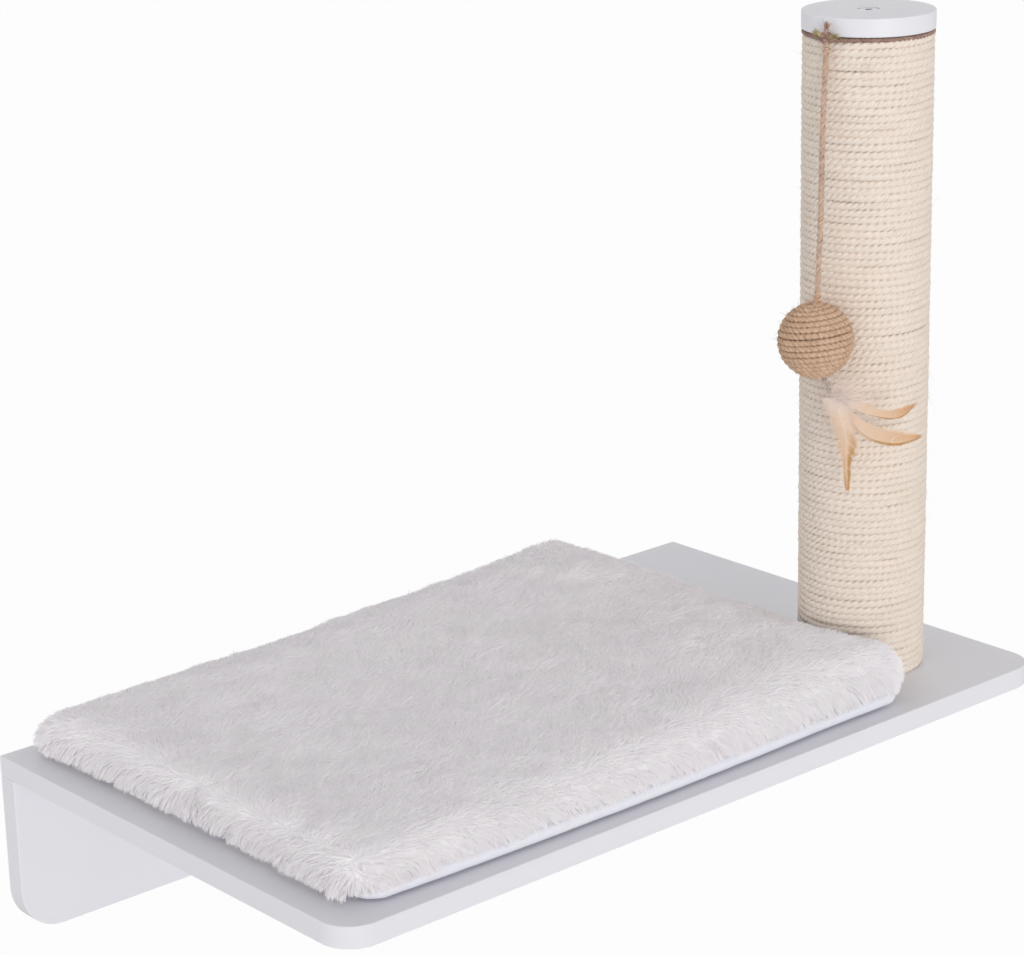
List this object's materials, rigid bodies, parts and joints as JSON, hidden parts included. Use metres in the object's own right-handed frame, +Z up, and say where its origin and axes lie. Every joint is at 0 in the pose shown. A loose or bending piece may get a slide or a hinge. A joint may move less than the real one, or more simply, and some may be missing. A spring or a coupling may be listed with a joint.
{
  "type": "wall mounted cat tree",
  "caption": "Wall-fixed cat shelf: white board on a wall batten, plush mat, upright sisal scratching post with cap, and a jute ball with feathers on a string.",
  "frame": {"origin": "centre of the four wall screw holes on the wall board's back face, where it meets the wall", "axes": "+X to the right along the wall seen from the room, +Y into the wall, +Z up"},
  "size_m": [0.6, 0.355, 0.565],
  "materials": {
    "white_board": "satin white laminate on fibreboard",
    "zinc_steel": "zinc plated",
    "grey_steel": "dull zinc plated",
    "beech": "plain beech",
    "cardboard": "brown wound board",
    "fibreboard": "raw fibreboard",
    "sisal": "natural twisted sisal rope",
    "tape": "white woven hook and loop tape",
    "plush": "long soft off-white pile",
    "lining": "smooth white lining cloth",
    "wadding": "white polyester wadding",
    "jute": "natural brown jute cord",
    "foam": "white expanded foam",
    "thread": "greyish waxed thread",
    "feather": "dyed peach feather",
    "down": "white down feather"
  },
  "bodies": {
    "frame": {"shelf_board": "white_board", "wall_board": "white_board", "joint_screws": "zinc_steel", "joint_dowels": "beech", "post_tube": "cardboard", "lower_plug": "fibreboard", "upper_plug": "fibreboard", "lower_insert": "zinc_steel", "upper_insert": "zinc_steel", "post_bolt": "zinc_steel", "post_washer": "zinc_steel", "top_cap": "white_board", "cap_bolt": "grey_steel", "sisal_rope_1": "sisal", "sisal_rope_2": "sisal", "sisal_rope_3": "sisal", "sisal_rope_4": "sisal", "hook_strips": "tape", "toy_collar": "jute"},
    "cushion": {"cushion_cover": "plush", "cushion_lining": "lining", "cushion_filling": "wadding", "loop_strips": "tape"},
    "toy_hanger": {"string_knot": "jute"},
    "toy_cord": {"toy_string": "jute"},
    "toy_ball": {"ball_core": "foam", "ball_winding": "jute", "ball_knot": "jute", "feather_knot": "thread"},
    "feather_bunch": {"feather_tie": "thread", "feather_long": "feather", "feather_upper": "feather", "feather_lower": "feather", "feather_down": "down"}
  },
  "joints": [
    {"name": "cushion_lift", "type": "slide", "parent": "frame", "child": "cushion", "axis": [0, 0, 1], "range_m": [0, 0.06]},
    {"name": "toy_side_swing", "type": "hinge", "parent": "frame", "child": "toy_hanger", "pos_m": [0.17156, -0.27253, 0.4985], "axis": [-0.9667, -0.2561, 0], "range_deg": [-40, 40]},
    {"name": "toy_out_swing", "type": "hinge", "parent": "toy_hanger", "child": "toy_cord", "pos_m": [0.17156, -0.27253, 0.4909], "axis": [-0.2561, 0.9667, 0], "range_deg": [0, 70]},
    {"name": "ball_swing", "type": "hinge", "parent": "toy_cord", "child": "toy_ball", "pos_m": [0.15549, -0.28171, 0.33501], "axis": [-0.9667, -0.2561, 0], "range_deg": [-40, 40]},
    {"name": "feather_swing", "type": "hinge", "parent": "toy_ball", "child": "feather_bunch", "pos_m": [0.15434, -0.2895, 0.28229], "axis": [-0.9667, -0.2561, 0], "range_deg": [-30, 15]}
  ]
}
